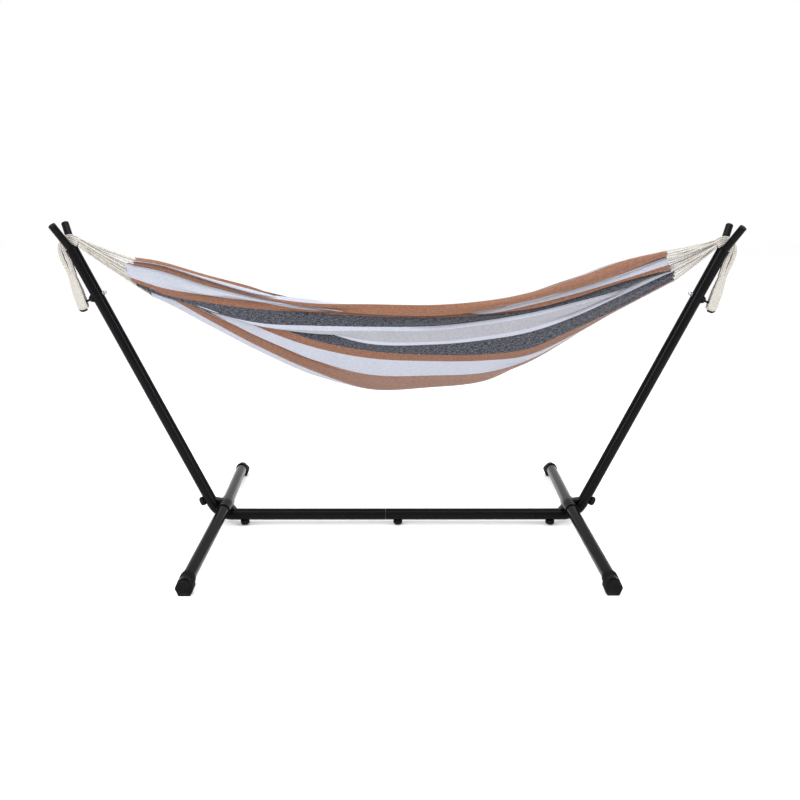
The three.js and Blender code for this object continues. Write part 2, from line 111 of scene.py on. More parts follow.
soft_box("overhead_soft_box", (0.0, -0.6, 3.4), (0, 0, 0.5), (4.0, 2.4), 120)
soft_box("front_left_soft_box", (-2.6, -3.0, 2.2), (0, 0, 0.6), (0.5, 2.6), 110)
soft_box("front_right_soft_box", (2.8, -2.6, 1.8), (0, 0, 0.6), (0.45, 2.4), 70)

# ---------------------------------------------------------------- Camera
# A view from a few steps in front at chest height, looking slightly down at the whole stand.
CAMERA_PLACE = (-0.0305, -3.2792, 1.2756)
LENS = 42.5  # mm, on a sensor 36 mm wide
PITCH_DOWN, TURN, TILT = 0.2397, -0.0113, 0.0035

lens = bpy.data.cameras.new("view")
lens.lens = LENS
camera = bpy.data.objects.new("view", lens)
camera.matrix_world = (
    Matrix.Translation(CAMERA_PLACE)
    @ Matrix.Rotation(TURN, 4, "Z")
    @ Matrix.Rotation(math.pi / 2 - PITCH_DOWN, 4, "X")
    @ Matrix.Rotation(TILT, 4, "Z")
)
bpy.context.collection.objects.link(camera)
bpy.context.scene.camera = camera

# ---------------------------------------------------------------- Base bar
# Two lengths of 42 mm steel tube, powder coated near black. The left half has a drawn-down spigot that
# slides into the right half, and both halves end in a spigot for their elbow.
MM = 0.001
TUBE_RADIUS = 21 * MM
TUBE_WALL = 1.5 * MM
BAR_HEIGHT = 42 * MM
BAR_END = 504.2 * MM
BAR_SEAM = -45 * MM
SIDES = 48
END_ROUNDING = 0.6 * MM
ACROSS = Vector((0, 1, 0))


def around(across, up, angle, wide, deep):
    """The step from a section's centre to its outline: wide along across, deep along up."""
    return across * (wide * math.cos(angle)) + up * (deep * math.sin(angle))


def ring(centre, heading, across, radius, sides=SIDES):
    """Points of one round section."""
    up = heading.cross(across).normalized()
    return [centre + around(across, up, 2 * math.pi * i / sides, radius, radius) for i in range(sides)]


def skin(name, strips, sharp=35):
    """One piece from strips, each (rings, closed): neighbouring rings are joined, open ends are capped."""
    shape = bmesh.new()
    for rings, closed in strips:
        rows = [[shape.verts.new(point) for point in points] for points in rings]
        pairs = list(zip(rows, rows[1:])) + ([(rows[-1], rows[0])] if closed else [])
        for low, high in pairs:
            for i in range(len(low)):
                j = (i + 1) % len(low)
                shape.faces.new((low[i], low[j], high[j], high[i]))
        if not closed:
            shape.faces.new(reversed(rows[0]))
            shape.faces.new(rows[-1])
    bmesh.ops.recalc_face_normals(shape, faces=shape.faces)
    mesh = bpy.data.meshes.new(name)
    shape.to_mesh(mesh)
    shape.free()
    mesh.shade_smooth()
    mesh.set_sharp_from_angle(angle=math.radians(sharp))
    piece = bpy.data.objects.new(name, mesh)
    bpy.context.collection.objects.link(piece)
    return piece


def tube_rings(line, radius, wall, across=ACROSS):
    """The closed set of rings of a tube along (point, heading) stations, its ends slightly rounded."""
    bore = radius - wall
    (start, start_heading), (stop, stop_heading) = line[0], line[-1]
    outside = [
        ring(start, start_heading, across, radius - END_ROUNDING),
        ring(start + start_heading * END_ROUNDING, start_heading, across, radius),
        *[ring(point, heading, across, radius) for point, heading in line[1:-1]],
        ring(stop - stop_heading * END_ROUNDING, stop_heading, across, radius),
        ring(stop, stop_heading, across, radius - END_ROUNDING),
    ]
    return outside + [ring(point, heading, across, bore) for point, heading in reversed(line)]


def fit_piece(piece, body, slot, material, *nodes):
    """Finishes a piece: its material, the body it rides on and the plain solids it stands for; the slot
    argument is not used.
    """
    piece.data.materials.append(material)
    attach(piece, body)
    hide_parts(*nodes)
    return piece


def mottle(tree, place, scale, detail, roughness=0.5):
    """Cloudy noise from 0 to 1; scale says how many patches lie along one unit of place."""
    return node(tree, "TexNoise", {"Vector": place, "Scale": scale, "Detail": detail,
                                   "Roughness": roughness}).outputs["Fac"]


def uneven_gloss(tree, shader, amount, least, most):
    """Roughness that wanders between two values."""
    gloss = node(tree, "MapRange", {"Value": amount, "To Min": least, "To Max": most})
    tree.links.new(gloss.outputs["Result"], shader.inputs["Roughness"])


def relief(tree, shader, height, strength, depth):
    """Small bumps that follow the height."""
    bump = node(tree, "Bump", {"Height": height, "Strength": strength, "Distance": depth})
    tree.links.new(bump.outputs["Normal"], shader.inputs["Normal"])


def make_powder_coat():
    """Satin black powder coat: fine orange-peel skin, slightly uneven gloss, a dusting of pale specks."""
    material, tree, shader = finish_material("black_powder_coat", 0.22)
    shader.inputs["Specular IOR Level"].default_value = 0.06
    place = node(tree, "TexCoord").outputs["Object"]
    cloud = mottle(tree, place, 9.0, 5.0, 0.6)
    tone = graded(tree, cloud, (0.0014, 0.0014, 0.0019), (0.0034, 0.0034, 0.0040))
    dust = node(tree, "TexVoronoi", {"Vector": place, "Scale": 240.0})
    speck = node(tree, "MapRange", {"Value": dust.outputs["Distance"], "From Min": 0.05, "From Max": 0.02})
    coated = node(tree, "Mix", {"Factor": speck.outputs["Result"], "A": tone, "B": (0.04, 0.04, 0.042, 1)},
                  data_type="RGBA")
    tree.links.new(coated.outputs["Result"], shader.inputs["Base Color"])
    uneven_gloss(tree, shader, cloud, 0.17, 0.27)
    relief(tree, shader, mottle(tree, place, 700.0, 2.0), 0.12, 0.4 * MM)
    return material


powder_coat = make_powder_coat()
ALONG_BAR = Vector((1, 0, 0))


def bar_point(x, below=0.0):
    return Vector((x, 0, BAR_HEIGHT - below))


for end, reach in (("left", (-BAR_END, BAR_SEAM - 0.3 * MM)), ("right", (BAR_SEAM, BAR_END))):
    line = [(bar_point(x), ALONG_BAR) for x in reach]
    bar = skin(f"bar_{end}", [(tube_rings(line, TUBE_RADIUS, TUBE_WALL), True)])
    fit_piece(bar, "stand", "powder_coat", powder_coat, f"base_bar_{end}")

# ---------------------------------------------------------------- Elbows and leg sleeves
# At each end a tube is bent from the bar up into the arm. A short wider sleeve is welded into the inside
# of the bend, with a small folded gusset over each weld, and the cross leg passes through it.
CORNER = Vector((657.5 * MM, 0, BAR_HEIGHT))
ARM_LEAN = math.radians(64.4)
UP_ARM = Vector((math.cos(ARM_LEAN), 0, math.sin(ARM_LEAN)))
OUT_OF_ARM = Vector((math.sin(ARM_LEAN), 0, -math.cos(ARM_LEAN)))
ELBOW_BAR_LEG, ELBOW_ARM_LEG, ELBOW_BEND = 153 * MM, 145 * MM, 80 * MM
LEG_APEX = Vector((629.6 * MM, 0, 77.4 * MM))
LEG_FOOT = Vector((660 * MM, 590 * MM, 35 * MM))
LEG_BEND = 150 * MM
SLEEVE_RADIUS = 24.7 * MM
SLEEVE_HALF = 48 * MM
SLEEVE_WALL = 3.2 * MM
GUSSET_ON_BAR, GUSSET_ON_ARM = 588 * MM, 64 * MM
GUSSET_LIFT, GUSSET_HALF = 14 * MM, 15 * MM
GUSSET_EDGE_STEPS = 6


def arm_point(along, out=0.0, y=0.0):
    point = CORNER + UP_ARM * along + OUT_OF_ARM * out
    point.y = y
    return point


def bent_line(corners, bend, steps=14):
    """(point, heading) stations of straight runs whose corners are rounded to one bend radius."""
    stations = [(corners[0], (corners[1] - corners[0]).normalized())]
    for before, corner, after in zip(corners, corners[1:], corners[2:]):
        heading = (corner - before).normalized()
        leaving = (after - corner).normalized()
        turn = heading.angle(leaving)
        start = corner - heading * (bend * math.tan(turn / 2))
        axis = heading.cross(leaving).normalized()
        inward = axis.cross(heading)
        for i in range(steps + 1):
            spin = Matrix.Rotation(turn * i / steps, 3, axis)
            stations.append((start + inward * bend - spin @ (inward * bend), spin @ heading))
    stations.append((corners[-1], (corners[-1] - corners[-2]).normalized()))
    return stations


def mirrored(strips, side):
    """The same strips for the other end of the stand: side is -1 or 1."""
    return [([[Vector((p.x * side, p.y, p.z)) for p in points] for points in rings], closed)
            for rings, closed in strips]


def fit_mirrored(name, strips, side, slot, material, plain_node, sharp=35, body="stand"):
    """Skins strips that are drawn for the right end as a piece on this side, and finishes it."""
    return fit_piece(skin(name, mirrored(strips, side), sharp), body, slot, material, plain_node)


def leg_line(half):
    """The cross leg's stations, as far as half its length along Y on either side of its bend."""
    share = half / LEG_FOOT.y
    foot = LEG_APEX.lerp(LEG_FOOT, share)
    return bent_line([Vector((foot.x, -foot.y, foot.z)), LEG_APEX, foot], LEG_BEND)


LEG_ACROSS = (LEG_FOOT - LEG_APEX).cross(ACROSS).normalized()


def gusset_plate(low, high, crown, half):
    """A folded plate between a point on the tube, a point on the sleeve and its crown, with soft corners."""
    rings = []
    for share, shrink in ((-1, 0.72), (-0.94, 0.93), (-0.6, 1.0), (0, 1.0), (0.6, 1.0), (0.94, 0.93),
                          (1, 0.72)):
        middle = (low + high + crown) / 3
        points = []
        for a, b in ((low, crown), (crown, high), (high, low)):
            for i in range(GUSSET_EDGE_STEPS):
                point = a.lerp(b, i / GUSSET_EDGE_STEPS)
                bulge = 1.0 if i else 0.97
                points.append(middle + (point - middle) * (shrink * bulge) + ACROSS * (half * share))
        rings.append(points)
    return rings


for end, side in (("left", -1), ("right", 1)):
    elbow_corners = [bar_point(CORNER.x - ELBOW_BAR_LEG), CORNER, arm_point(ELBOW_ARM_LEG)]
    elbow_strips = [(tube_rings(bent_line(elbow_corners, ELBOW_BEND), TUBE_RADIUS, TUBE_WALL), True)]
    fit_mirrored(f"bent_elbow_{end}", elbow_strips, side, "powder_coat", powder_coat, f"elbow_{end}")

    sleeve_strips = [(tube_rings(leg_line(SLEEVE_HALF), SLEEVE_RADIUS, SLEEVE_WALL, LEG_ACROSS), True)]
    crown = LEG_APEX + Vector((-4 * MM, 0, SLEEVE_RADIUS - 2 * MM))
    bar_gusset = gusset_plate(bar_point(GUSSET_ON_BAR, -GUSSET_LIFT), LEG_APEX, crown, GUSSET_HALF)
    arm_gusset = gusset_plate(arm_point(GUSSET_ON_ARM, -GUSSET_LIFT), LEG_APEX,
                              crown + Vector((10 * MM, 0, 0)), GUSSET_HALF)
    sleeve_strips += [(bar_gusset, False), (arm_gusset, False)]
    fit_mirrored(f"welded_sleeve_{end}", sleeve_strips, side, "powder_coat", powder_coat,
                 f"leg_sleeve_{end}")

    leg_strips = [(tube_rings(leg_line(LEG_FOOT.y), TUBE_RADIUS, TUBE_WALL, LEG_ACROSS), True)]
    fit_mirrored(f"bent_leg_{end}", leg_strips, side, "powder_coat", powder_coat, f"cross_leg_{end}")

# ---------------------------------------------------------------- Feet
# A black rubber boot is pushed onto each leg end: a round collar that flares into a block with a flat
# underside, low wide cheeks, a rounded back and a bevelled end face.
FOOT_INNER, FOOT_FLARE, FOOT_BLOCK, FOOT_OUTER = 546 * MM, 560 * MM, 571 * MM, 602 * MM
FOOT_COLLAR_RADIUS = 24.6 * MM
FOOT_FLAT, FOOT_HALF_WIDTH, FOOT_WIDEST, FOOT_TOP = 18 * MM, 28.5 * MM, 23 * MM, 58 * MM
FOOT_FACE_TOP = 47 * MM
FOOT_BORE_DEPTH, FOOT_LIP = 12 * MM, 0.8 * MM
CHEEK_FALL = 1.75  # how soon the outline reaches the floor below its widest line
LEAST_DROP = 0.25  # keeps the outline's sum clear of a division by nothing at the widest line
FOOT_POINTS = 64


def figure(tree, operation, first, second=0.5):
    """The result of a sum on two values or output sockets."""
    return node(tree, "Math", {0: first, 1: second}, operation=operation).outputs["Value"]


def make_rubber():
    """Matte moulded rubber: grey bloom in soft patches, a fine moulded grain and scuffs near the floor."""
    material, tree, shader = finish_material("black_foot_rubber", 0.7)
    shader.inputs["Specular IOR Level"].default_value = 0.06
    place = node(tree, "TexCoord").outputs["Object"]
    bloom = mottle(tree, place, 38.0, 6.0, 0.65)
    tone = graded(tree, bloom, (0.0016, 0.0016, 0.0018), (0.0062, 0.0062, 0.0062), 0.35, 0.72)
    height = node(tree, "SeparateXYZ", {"Vector": place})
    low = node(tree, "MapRange", {"Value": height.outputs["Z"], "From Min": 0.014, "From Max": 0.0,
                                  "To Min": 0.0, "To Max": 0.55})
    scuff = figure(tree, "MULTIPLY", low.outputs["Result"], bloom)
    worn = node(tree, "Mix", {"Factor": scuff, "A": tone, "B": (0.03, 0.029, 0.028, 1)}, data_type="RGBA")
    tree.links.new(worn.outputs["Result"], shader.inputs["Base Color"])
    relief(tree, shader, mottle(tree, place, 900.0, 2.0), 0.25, 0.5 * MM)
    return material


rubber = make_rubber()


def boot_outline(top):
    """Half-width and height of the block's outline, counted like a clock's hand round its widest line."""
    points = []
    for i in range(FOOT_POINTS):
        angle = 2 * math.pi * i / FOOT_POINTS
        x, z = math.cos(angle), math.sin(angle)
        if z >= 0:
            points.append((FOOT_HALF_WIDTH * x, FOOT_WIDEST + (top - FOOT_WIDEST) * z))
        else:
            fall = min(1.0, -z * CHEEK_FALL)
            reach = FOOT_FLAT + (FOOT_HALF_WIDTH - FOOT_FLAT) * (1 - fall)
            half = min(reach, abs(x) / max(LEAST_DROP, abs(z)) * reach)
            points.append((math.copysign(half, x), FOOT_WIDEST * (1 - fall)))
    return points


def boot_rings(front):
    """Rings from the bore's mouth, round the collar's lip, along the boot and over its end face."""
    def leg_at(y):
        return LEG_APEX.lerp(LEG_FOOT, y / LEG_FOOT.y)

    slope = (FOOT_TOP - FOOT_FACE_TOP) / (FOOT_OUTER - FOOT_BLOCK)
    rings = []

    def add(y, radius, block, shrink=0.0, top=FOOT_TOP):
        centre = leg_at(min(y, LEG_FOOT.y))
        points = []
        outline = boot_outline(top)
        for i in range(FOOT_POINTS):
            angle = 2 * math.pi * i / FOOT_POINTS
            round_x, round_z = radius * math.cos(angle), centre.z + radius * math.sin(angle)
            block_x, block_z = outline[i]
            x = round_x + (block_x - round_x) * block
            z = round_z + (block_z - round_z) * block
            middle = centre.z * (1 - block) + (top * 0.5) * block
            x *= 1 - shrink
            z = middle + (z - middle) * (1 - shrink)
            points.append(Vector((centre.x + x, front * y, max(z, 0.0))))
        rings.append(points)

    bore = TUBE_RADIUS + 0.3 * MM
    add(FOOT_INNER + FOOT_BORE_DEPTH, bore, 0)
    add(FOOT_INNER + FOOT_LIP, bore, 0)
    add(FOOT_INNER, bore + FOOT_LIP, 0)
    add(FOOT_INNER, FOOT_COLLAR_RADIUS - 1 * MM, 0)
    add(FOOT_INNER + 1 * MM, FOOT_COLLAR_RADIUS, 0)
    add(FOOT_FLARE - 2 * MM, FOOT_COLLAR_RADIUS, 0)
    for i in range(1, 8):
        share = i / 8
        flare = share * share * (3 - 2 * share)
        add(FOOT_FLARE + (FOOT_BLOCK - FOOT_FLARE) * share, FOOT_COLLAR_RADIUS, flare)
    for i in range(7):
        y = FOOT_BLOCK + (FOOT_OUTER - 2 * MM - FOOT_BLOCK) * i / 6
        add(y, FOOT_COLLAR_RADIUS, 1, top=FOOT_TOP - slope * (y - FOOT_BLOCK))
    add(FOOT_OUTER - 0.6 * MM, FOOT_COLLAR_RADIUS, 1, 0.035, FOOT_FACE_TOP)
    add(FOOT_OUTER, FOOT_COLLAR_RADIUS, 1, 0.09, FOOT_FACE_TOP)
    add(FOOT_OUTER, FOOT_COLLAR_RADIUS, 1, 0.2, FOOT_FACE_TOP)
    add(FOOT_OUTER - 0.8 * MM, FOOT_COLLAR_RADIUS, 1, 0.24, FOOT_FACE_TOP)
    return rings


for end, side in (("left", -1), ("right", 1)):
    for place, front in (("front", -1), ("rear", 1)):
        fit_mirrored(f"rubber_foot_{end}_{place}", [(boot_rings(front), False)], side, "rubber", rubber,
                     f"foot_{end}_{place}", 40)

# ---------------------------------------------------------------- Arms and forks
# A leaning tube on each elbow. Its coped top carries a 26 mm tube bent into a fork, welded all round, and
# the fork's two tips are closed by pushed-in plastic plugs. A disc closes the arm's bore under the fork.
ARM_LENGTH = 1070 * MM
ARM_START = ELBOW_ARM_LEG + 0.3 * MM
FORK_RADIUS, FORK_WALL, FORK_BEND = 13 * MM, 1.5 * MM, 28 * MM
FORK_SEAT, FORK_REACH, PLUG_HEAD = 1074 * MM, 85 * MM, 3 * MM
FORK_SPLAY = math.radians(30)
DISC_SINK = 4 * MM
# Turned outlines are (radius, distance) pairs in mm, here of the closing disc and of a fork's plug.
DISC_PROFILE = ((8, -3), (19.2, -3), (19.4, -0.5), (18.6, 0), (9, 0.6))
PLUG_PROFILE = ((9.5, -14), (10.9, -13), (10.9, 0.3), (12.7, 0.3), (13, 0.7), (13, 1.6), (12.4, 2.5),
                (11, 3), (6, 3.3), (2, 3.35))
SEAM_STEPS, SEAM_SINK = 40, 1.5 * MM
SEAM_RISE = 5 * MM  # how far the weld climbs round the fork at the front and rear


def make_plug_plastic():
    """Black moulded plastic: a slight leathery grain and a dull sheen that varies over the piece."""
    material, tree, shader = finish_material("black_moulded_plastic", 0.45)
    shader.inputs["Specular IOR Level"].default_value = 0.07
    place = node(tree, "TexCoord").outputs["Object"]
    patch = mottle(tree, place, 60.0, 4.0)
    tone = graded(tree, patch, (0.0018, 0.0018, 0.0020), (0.0048, 0.0048, 0.0050))
    tree.links.new(tone, shader.inputs["Base Color"])
    uneven_gloss(tree, shader, patch, 0.38, 0.56)
    cells = node(tree, "TexVoronoi", {"Vector": place, "Scale": 1100.0})
    relief(tree, shader, cells.outputs["Distance"], 0.2, 0.3 * MM)
    return material


black_plastic = make_plug_plastic()


def fork_tip(reach, front):
    return arm_point(FORK_SEAT + reach, 0, front * (reach + FORK_BEND) * math.tan(FORK_SPLAY))


def turned_rings(profile, start, heading, sides=SIDES, across=ACROSS):
    """Rings of a turned piece from (radius, distance) pairs along its axis, in mm."""
    return [ring(start + heading * (distance * MM), heading, across, radius * MM, sides)
            for radius, distance in profile]


def fork_seam(front):
    """The weld between the arm's rim and the fork, over the front or the rear half of the rim."""
    rings = []
    rim = ARM_LENGTH - SEAM_SINK
    for i in range(SEAM_STEPS + 1):
        angle = math.pi * i / SEAM_STEPS
        out, y = TUBE_RADIUS * math.cos(angle), front * TUBE_RADIUS * math.sin(angle)
        rise = SEAM_RISE * abs(math.sin(angle)) - 1 * MM
        heading = (-OUT_OF_ARM * math.sin(angle) + ACROSS * (front * math.cos(angle))).normalized()
        size = (1.5 + 0.25 * math.sin(i * 2.6)) * MM * (0.4 if i in (0, SEAM_STEPS) else 1)
        rings.append(ring(arm_point(rim + rise, out * 0.985, y * 0.985), heading, UP_ARM, size, sides=10))
    return rings


for end, side in (("left", -1), ("right", 1)):
    arm_line = [(arm_point(ARM_START), UP_ARM), (arm_point(ARM_LENGTH), UP_ARM)]
    arm_strips = [(tube_rings(arm_line, TUBE_RADIUS, TUBE_WALL), True)]
    arm_strips += [(fork_seam(-1), False), (fork_seam(1), False)]
    fit_mirrored(f"leaning_arm_{end}", arm_strips, side, "powder_coat", powder_coat, f"arm_{end}")

    disc_rings = turned_rings(DISC_PROFILE, arm_point(ARM_LENGTH - DISC_SINK), UP_ARM)
    fit_mirrored(f"arm_disc_{end}", [(disc_rings, False)], side, "powder_coat", powder_coat,
                 f"arm_plate_{end}")

    fork_line = bent_line(
        [fork_tip(FORK_REACH, 1), arm_point(FORK_SEAT - FORK_BEND), fork_tip(FORK_REACH, -1)], FORK_BEND, 24)
    fork_strips = [(tube_rings(fork_line, FORK_RADIUS, FORK_WALL, OUT_OF_ARM), True)]
    fit_mirrored(f"fork_tube_{end}", fork_strips, side, "powder_coat", powder_coat, f"fork_{end}")
    for place, front in (("front", -1), ("rear", 1)):
        tip = fork_tip(FORK_REACH, front)
        outward = (fork_tip(FORK_REACH + PLUG_HEAD, front) - tip).normalized()
        plug_rings = turned_rings(PLUG_PROFILE, tip, outward, 40, OUT_OF_ARM)
        fit_mirrored(f"fork_tip_plug_{end}_{place}", [(plug_rings, False)], side, "black_plastic",
                     black_plastic, f"fork_plug_{end}_{place}", 40)

# ---------------------------------------------------------------- Knobs
# Five moulded hand knobs pin the tubes together: three under the bar and one on each arm's elbow. Each has
# finger flutes, a dished face and a threaded steel stud that screws into a nut caught inside the spigot.
KNOB_ON_BAR, KNOB_ON_ARM = 562 * MM, 70 * MM
KNOB_LOBES = 8
STUD_RADIUS, STUD_PITCH, STUD_START, STUD_LENGTH = 4 * MM, 1.25 * MM, 6.6 * MM, 24.7 * MM
THREAD_DEPTH = 0.55 * MM


def make_zinc():
    """Bright zinc plating: pale grey metal with faint darker blotches and uneven gloss."""
    material, tree, shader = finish_material("zinc_plated_steel", 0.35, (0.5, 0.51, 0.53), 1.0)
    place = node(tree, "TexCoord").outputs["Object"]
    blotch = mottle(tree, place, 140.0, 5.0)
    tree.links.new(graded(tree, blotch, (0.38, 0.39, 0.41), (0.66, 0.67, 0.69)), shader.inputs["Base Color"])
    uneven_gloss(tree, shader, blotch, 0.22, 0.5)
    return material


zinc = make_zinc()


def knob_rings(seat, outward):
    """The fluted head, from the clearance round its stud, over the flutes to the dished face."""
    up = outward.cross(ACROSS).normalized()
    rings = []
    for radius, distance, flute in (
            (4.6, 2.0, 0), (4.6, 0, 0), (14.0, 0, 0), (15.4, 0.5, 0.4), (16.2, 1.8, 0.9), (16.5, 3.6, 1.5),
            (16.5, 10.6, 1.5), (16.2, 12.4, 1.4), (15.3, 14.2, 1.1), (13.8, 15.3, 0.7), (12.0, 15.7, 0.3),
            (10.2, 15.4, 0), (8.6, 14.7, 0), (3.0, 14.5, 0)):
        points = []
        for i in range(96):
            angle = 2 * math.pi * i / 96
            hollow = 0.5 - 0.5 * math.cos(KNOB_LOBES * angle)
            size = (radius - flute * hollow ** 2) * MM
            points.append(seat + outward * (distance * MM) + around(ACROSS, up, angle, size, size))
        rings.append(points)
    return rings


def stud_rings(start, outward):
    """A threaded rod: each ring's radius follows the helix of the thread."""
    up = outward.cross(ACROSS).normalized()
    rings = []
    steps = int(STUD_LENGTH / STUD_PITCH * 6)
    for j in range(steps + 1):
        distance = STUD_LENGTH * j / steps
        points = []
        for i in range(24):
            turn = i / 24
            wave = abs(((distance / STUD_PITCH - turn) % 1.0) - 0.5) * 2
            size = STUD_RADIUS - THREAD_DEPTH * wave
            points.append(start + outward * distance + around(ACROSS, up, 2 * math.pi * turn, size, size))
        rings.append(points)
    return rings


DOWN = Vector((0, 0, -1))
for place, side, at, outward in (
        ("bar_left", -1, bar_point(KNOB_ON_BAR), DOWN), ("bar_middle", 1, bar_point(0), DOWN),
        ("bar_right", 1, bar_point(KNOB_ON_BAR), DOWN), ("arm_left", -1, arm_point(KNOB_ON_ARM), OUT_OF_ARM),
        ("arm_right", 1, arm_point(KNOB_ON_ARM), OUT_OF_ARM)):
    head_rings = knob_rings(at + outward * (TUBE_RADIUS + 0.3 * MM), outward)
    fit_mirrored(f"hand_knob_{place}", [(head_rings, False)], side, "black_plastic", black_plastic,
                 f"knob_{place}", 50, f"{place}_knob")
    screw_rings = stud_rings(at + outward * STUD_START, outward)
    fit_mirrored(f"knob_screw_{place}", [(screw_rings, False)], side, "zinc_steel", zinc,
                 f"knob_stud_{place}", 80, f"{place}_stud")
    caught_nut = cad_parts[f"captive_nut_{place}"]
    caught_nut.data.materials.clear()
    caught_nut.data.materials.append(zinc)

# ---------------------------------------------------------------- Hook bolts
# A coated steel hook passes through each arm below the fork: outside it stands off on a tapered spacer,
# reaches out, curls down and back to hold the cords' end loop; inside a washer and domed nut hold it.
HOOK_ALONG, HOOK_RADIUS = 891 * MM, 4 * MM
HOOK_REACH, HOOK_DROP, HOOK_LIP, HOOK_BEND = 80.5 * MM, 25 * MM, 56 * MM, 12.4 * MM
INTO_ARM = -OUT_OF_ARM
SPACER_PROFILE = ((11, 16.5), (13.2, 16.5), (14, 17.5), (14, 23), (13.4, 24), (10.6, 28.6), (9.3, 30.2),
                  (8.6, 31), (5.2, 31), (4.6, 30))
WASHER_PROFILE = ((4.4, 0), (8.2, 0), (8.5, 0.4), (8.5, 1.2), (8.1, 1.6), (4.7, 1.6))
WASHER_SEAT, NUT_SEAT, NUT_ACROSS = 21.3 * MM, 23.2 * MM, 7.5 * MM


def make_chrome():
    """Bright nickel-chrome plating with a faint haze in patches."""
    material, tree, shader = finish_material("bright_plated_nut", 0.24, (0.34, 0.345, 0.36), 1.0)
    place = node(tree, "TexCoord").outputs["Object"]
    uneven_gloss(tree, shader, mottle(tree, place, 320.0, 4.0), 0.1, 0.28)
    return material


chrome = make_chrome()


def hexed(radius, angle, shrink=1.0):
    """A hexagon's distance from its axis at an angle, its corners slightly turned off."""
    sector = (angle % (math.pi / 3)) - math.pi / 6
    return min(radius * math.cos(math.pi / 6) / math.cos(sector), radius * 0.975) * shrink


def nut_rings(start, heading):
    """A hexagon with a domed cap, from its seat outwards."""
    up = heading.cross(ACROSS).normalized()
    rings = []
    for size, distance, hexagon in (
            (0.6, 0, 1), (0.93, 0, 1), (1.0, 0.7, 1), (1.0, 5.4, 1), (0.93, 6.0, 1), (6.0, 6.3, 0),
            (5.8, 7.6, 0), (5.1, 9.2, 0), (3.9, 10.4, 0), (2.2, 11.1, 0), (0.6, 11.3, 0)):
        points = []
        for i in range(48):
            angle = 2 * math.pi * i / 48
            reach = hexed(NUT_ACROSS, angle, size) if hexagon else size * MM
            points.append(start + heading * (distance * MM) + around(ACROSS, up, angle, reach, reach))
        rings.append(points)
    return rings


for end, side in (("left", -1), ("right", 1)):
    hook_line = bent_line(
        [arm_point(HOOK_ALONG, -32 * MM), arm_point(HOOK_ALONG, HOOK_REACH),
         arm_point(HOOK_ALONG - HOOK_DROP, HOOK_REACH), arm_point(HOOK_ALONG - HOOK_DROP, HOOK_LIP)],
        HOOK_BEND, 16)
    tip, tip_heading = hook_line[-1]
    hook_rings = [ring(hook_line[0][0], hook_line[0][1], ACROSS, HOOK_RADIUS * 0.9, sides=24)]
    hook_rings += [ring(point, heading, ACROSS, HOOK_RADIUS, sides=24) for point, heading in hook_line[:-1]]
    for back, size in ((2.0, 1.0), (1.0, 0.93), (0.3, 0.72), (0.0, 0.4)):
        centre = tip - tip_heading * (back * MM)
        hook_rings.append(ring(centre, tip_heading, ACROSS, HOOK_RADIUS * size, sides=24))
    fit_mirrored(f"cord_hook_{end}", [(hook_rings, False)], side, "powder_coat", powder_coat, f"hook_{end}")

    spacer_rings = turned_rings(SPACER_PROFILE, arm_point(HOOK_ALONG), OUT_OF_ARM, 40)
    fit_mirrored(f"hook_standoff_{end}", [(spacer_rings, False)], side, "black_plastic", black_plastic,
                 f"hook_spacer_{end}", 50)
    washer_rings = turned_rings(WASHER_PROFILE, arm_point(HOOK_ALONG, -WASHER_SEAT), INTO_ARM, 40)
    fit_mirrored(f"hook_washer_disc_{end}", [(washer_rings, True)], side, "zinc_steel", zinc,
                 f"hook_washer_{end}", 40)
    dome_rings = nut_rings(arm_point(HOOK_ALONG, -NUT_SEAT), INTO_ARM)
    fit_mirrored(f"hook_dome_nut_{end}", [(dome_rings, False)], side, "chrome", chrome, f"hook_nut_{end}")

# ---------------------------------------------------------------- Cloth
# One piece of plain-woven cotton, 1.5 m across and 2.0 m long, with warp stripes that run from end to end.
# Its ends are gathered onto cords, so it hangs as a narrow trough with long tucks and an inner flap.
CLOTH_FLAT = (1.5, 2.0)
CLOTH_THICKNESS = 1.4 * MM
FIRST_HEM, LAST_HEM = -270, 1230  # mm across the cloth, counted from the middle of one grey stripe
# The lay's heights are set out on an upright plane in front of the middle. Cloth further back is set lower
# along the line of sight from the camera, which stands at this height and this far from the plane.
LAY_PLANE = -0.13
SIGHT_HEIGHT, SIGHT_RUN = CAMERA_PLACE[2], 3.15
HALF_WIDTHS = ((-0.95, 0.045), (-0.80, 0.075), (-0.55, 0.12), (-0.2, 0.155), (0.2, 0.155), (0.55, 0.12),
               (0.80, 0.075), (0.95, 0.045))
